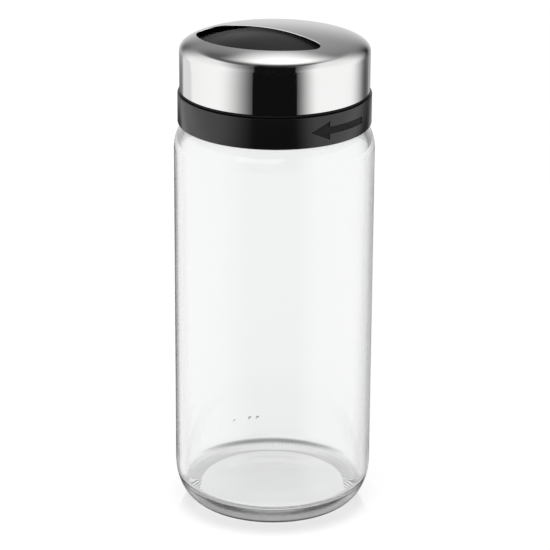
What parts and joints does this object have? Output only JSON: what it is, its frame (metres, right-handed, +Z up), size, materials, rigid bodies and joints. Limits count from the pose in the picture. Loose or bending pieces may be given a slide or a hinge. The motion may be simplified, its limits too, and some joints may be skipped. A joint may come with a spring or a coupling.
{
  "type": "spice jar",
  "caption": "Round clear glass spice jar with a black screwed collar and a polished steel cap that turns to uncover a sprinkling dome.",
  "frame": {"origin": "on the surface that the jar stands on, under the middle of its foot", "axes": "+Z up along the jar's axis; -Y is the side with the arrow and the cap's opening, +X to the right seen from there"},
  "size_m": [0.066, 0.066, 0.1628],
  "materials": {
    "glass": "clear",
    "steel": "polished",
    "collar_black": "gloss black",
    "dome_black": "satin black",
    "carrier_black": "matt black",
    "seal_rubber": "matt translucent grey",
    "ring_rubber": "matt black"
  },
  "bodies": {
    "jar": {"glass_jar": "glass"},
    "seal": {"rim_seal": "seal_rubber"},
    "collar": {"threaded_collar": "collar_black", "shaker_dome": "dome_black", "turn_ring": "ring_rubber"},
    "cap": {"cap_carrier": "carrier_black", "cap_shell": "steel"}
  },
  "joints": [
    {"name": "seal_rise", "type": "slide", "parent": "jar", "child": "seal", "axis": [0, 0, 1], "range_m": [0, 0.0168]},
    {"name": "collar_unscrew", "type": "hinge", "parent": "seal", "child": "collar", "pos_m": [0, 0, 0.142], "axis": [0, 0, 1], "range_deg": [0, 360]},
    {"name": "cap_turn", "type": "hinge", "parent": "collar", "child": "cap", "pos_m": [0, 0, 0.15], "axis": [0, 0, 1], "range_deg": [-180, 0]}
  ],
  "couplings": [
    {"joint": "seal_rise", "follows": "collar_unscrew", "m_per_rad": 0.0026738}
  ]
}
